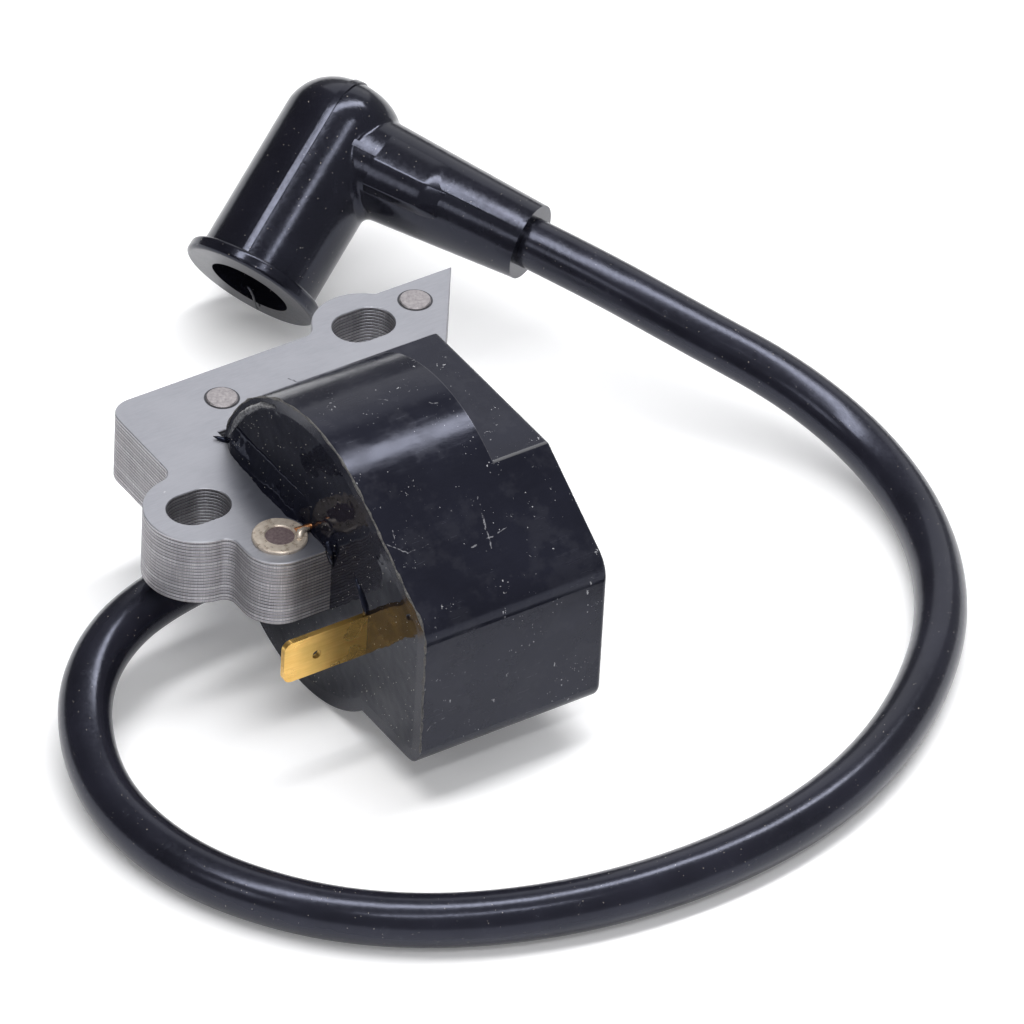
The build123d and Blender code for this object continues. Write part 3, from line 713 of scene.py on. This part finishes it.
# The rim runs over the round top, down the sloping flank, round the shoulder and down the wall.
ROUND_START = math.radians(70)
ROUND_END = math.radians(-34.5)
FLANK_END = (-31.3, 29.2)
SHOULDER = ((-32.1, 28.5), (-32.8, 27.7), (-33.2, 26.8))
WALL_TOP = 26.2
WALL_DROP = 18.0
ROUND_STATIONS, FLANK_STATIONS, WALL_STATIONS = 40, 23, 28

rim_line = []
for station in range(ROUND_STATIONS):
    rim_angle = ROUND_START + (ROUND_END - ROUND_START) * station / (ROUND_STATIONS - 1)
    rim_line.append(outline_point(rim_angle, CASE_RADIUS))
flank_start = rim_line[-1]
for station in range(1, FLANK_STATIONS + 1):
    share = station / FLANK_STATIONS
    y = flank_start[1] + (FLANK_END[0] - flank_start[1]) * share
    rim_line.append((FACE, y, flank_start[2] + (FLANK_END[1] - flank_start[2]) * share))
for y, z in SHOULDER:
    rim_line.append((FACE, y, z))
for station in range(WALL_STATIONS):
    rim_line.append((FACE, side_wall, WALL_TOP - WALL_DROP * station / (WALL_STATIONS - 1)))

# The draws come from a fixed seed, so every run makes the same flash.
random.seed(11)
rim_sizes = []
for station in range(len(rim_line)):
    rim_sizes.append(max(0.05, 0.12 + wobble(station * 1.7, 3.3, 0.1) + random.uniform(-0.03, 0.06)))
rim_line = [
    (x + random.uniform(-0.06, 0.06), y + random.uniform(-0.05, 0.05), z + random.uniform(-0.05, 0.05))
    for x, y, z in rim_line
]
cord_of("rim_flash", rim_line, rim_sizes, rim_plastic(), sides=6, seed=5.0, rough=0.35)

# ---------------------------------------------------------------- boot's pad and tab

# The boot in millimetres: its mouth, the barrel's and the arm's directions, and where they meet.
MOUTH = Vector((18.83, 60.47, 8.33))
BARREL = Vector((0.7732, 0.3304, 0.5413)).normalized()
ARM = Vector((0.4481, -0.8886, -0.0979)).normalized()
MOUTH_TO_ARM = 22.56
ELBOW = MOUTH + BARREL * MOUTH_TO_ARM
ARM_ROOT, ARM_TIP, ARM_LENGTH = 7.2, 5.35, 31.1
PAD_FACE = Vector((-0.618, -0.387, 0.683))
PAD_SIDE = ARM.cross(PAD_FACE).normalized()
PAD_START, PAD_END = 8.6, 20.0
PAD_STATIONS = 24
# Across the pad: place to the side of the arm's middle, and how far it stands above the arm there.
PAD_PROFILE = [(-5.0, -0.3), (-4.5, 0.15), (-0.95, 0.75), (-0.7, 0.8), (2.7, 0.95), (3.0, 0.9), (3.9, -0.3)]
# The last part of the pad's length sinks into the arm.
PAD_SINK = 0.3


def pad_row(share):
    """The pad's section at a share of its length."""
    out = PAD_START + (PAD_END - PAD_START) * share
    radius = ARM_ROOT + (ARM_TIP - ARM_ROOT) * out / ARM_LENGTH
    fade = min(1.0, (1.0 - share) / PAD_SINK) ** 0.7
    row = []
    for side, proud in PAD_PROFILE:
        side *= 1.0 - 0.12 * share
        height = math.sqrt(radius * radius - side * side)
        lift = proud * fade - 0.3 * (1 - fade)
        row.append(tuple(ELBOW + ARM * out + PAD_SIDE * side + PAD_FACE * (height + lift)))
    return row


pad_rows = [pad_row(station / PAD_STATIONS) for station in range(PAD_STATIONS + 1)]
loft("boot_pad", pad_rows, materials["boot_rubber"], closed=False)

# The thin tab of flash across the boot's mouth.
TAB_LINE = BARREL.cross(ARM).normalized()
TAB_LENGTH = 8.4
TAB_STATIONS = 8


def tab_row(share):
    """The tab's diamond section at a share of its length."""
    sag = 0.12 + 0.25 * math.sin(2.4 * share)
    middle = MOUTH - BARREL * sag + TAB_LINE * (TAB_LENGTH * share - 0.6)
    wide = 0.3 - 0.16 * share
    row = []
    for side, depth in ((-wide, 0.0), (0.0, 0.14), (wide, 0.0), (0.0, -0.14)):
        row.append(tuple(middle + ARM * (side + 0.25 * math.sin(5 * share)) + BARREL * depth))
    return row


tab_rows = [tab_row(station / TAB_STATIONS) for station in range(TAB_STATIONS + 1)]
loft("boot_tab", tab_rows, materials["boot_rubber"])

# ---------------------------------------------------------------- solder on the earth ring

RING_TOP = box_mm("ground_washer")[1].z
SOLDER = [
    (-16.9, -8.0, RING_TOP),
    (-16.2, -7.2, RING_TOP + 0.2),
    (-15.4, -6.8, RING_TOP + 0.1),
    (-14.6, -6.9, RING_TOP),
]
SOLDER_SIZES = (0.3, 0.55, 0.4, 0.2)
cord_of("ring_solder", SOLDER, SOLDER_SIZES, materials["tinned_ring"], sides=10, seed=1.1)

# ---------------------------------------------------------------- table and light


def floor_material():
    n = Nodes("table")
    grain = n.noise(0.02, 3, 0.5)
    colour = n.ramp(grain, [(0.3, (0.93, 0.93, 0.935)), (0.7, (0.95, 0.95, 0.955))])
    n.surface(colour, 0.6, 0.0, Emission_Color=(1, 1, 1, 1), Emission_Strength=0.16)
    return n.material


FLOOR_HALF = 6.0
FLOOR_CELLS = 8
# The floor lies a hair below the object, so that nothing flickers where they touch.
FLOOR_GAP = 0.00002
floor_mesh = bpy.data.meshes.new("table")
grid = bmesh.new()
bmesh.ops.create_grid(grid, x_segments=FLOOR_CELLS, y_segments=FLOOR_CELLS, size=FLOOR_HALF)
grid.to_mesh(floor_mesh)
grid.free()
floor = bpy.data.objects.new("table", floor_mesh)
bpy.context.collection.objects.link(floor)
floor_mesh.materials.append(floor_material())
floor.location = (0, 0, -FLOOR_GAP)


LAMP_TARGET = mm(0, 0, 20)


def softbox(name, direction, distance, width, depth, brightness):
    """A rectangular lamp facing the object: width runs along X, brightness is what a mirror shows."""
    lamp = bpy.data.lights.new(name, "AREA")
    lamp.shape = "RECTANGLE"
    lamp.size = width
    lamp.size_y = depth
    lamp.energy = brightness * math.pi * width * depth
    holder = bpy.data.objects.new(name, lamp)
    bpy.context.collection.objects.link(holder)
    away = Vector(direction).normalized()
    side = Vector((1, 0, 0)) if abs(away.x) < 0.8 else Vector((0, 1, 0))
    side = (side - away * side.dot(away)).normalized()
    turn = Matrix((side, away.cross(side), away)).transposed()
    holder.matrix_world = Matrix.Translation(LAMP_TARGET + away * distance) @ turn.to_4x4()


softbox("key_light", (0.1, 0.07, 0.95), distance=1.7, width=2.6, depth=0.33, brightness=13.5)
softbox("front_light", (-0.16, -0.53, 0.85), distance=1.7, width=1.0, depth=0.16, brightness=10.0)
softbox("left_light", (-0.82, -0.13, 0.55), distance=2.0, width=0.5, depth=0.45, brightness=3.0)
softbox("back_light", (0.6, 0.65, 0.55), distance=2.2, width=1.9, depth=1.2, brightness=0.78)

# The room is brighter on the right and at the back: its glow follows the direction's x minus y.
ROOM_DIM, ROOM_BRIGHT = 0.07, 0.3
DIM_UP_TO, BRIGHT_FROM = -1.0, -0.25
ROOM_COLOUR = (0.95, 0.96, 1.0, 1)

world = bpy.data.worlds.new("studio")
world.use_nodes = True
world_nodes = world.node_tree.nodes
world_links = world.node_tree.links
sky_place = world_nodes.new("ShaderNodeTexCoord")
sky_axes = world_nodes.new("ShaderNodeSeparateXYZ")
sky_turn = world_nodes.new("ShaderNodeMath")
sky_turn.operation = "SUBTRACT"
sky_ramp = world_nodes.new("ShaderNodeMapRange")
sky_ramp.inputs["From Min"].default_value = DIM_UP_TO
sky_ramp.inputs["From Max"].default_value = BRIGHT_FROM
sky_ramp.inputs["To Min"].default_value = ROOM_DIM
sky_ramp.inputs["To Max"].default_value = ROOM_BRIGHT
world_links.new(sky_place.outputs["Generated"], sky_axes.inputs[0])
world_links.new(sky_axes.outputs[0], sky_turn.inputs[0])
world_links.new(sky_axes.outputs[1], sky_turn.inputs[1])
world_links.new(sky_turn.outputs[0], sky_ramp.inputs[0])
background = world_nodes["Background"]
background.inputs[0].default_value = ROOM_COLOUR
world_links.new(sky_ramp.outputs[0], background.inputs[1])
bpy.context.scene.world = world
bpy.context.scene.view_settings.view_transform = "Standard"
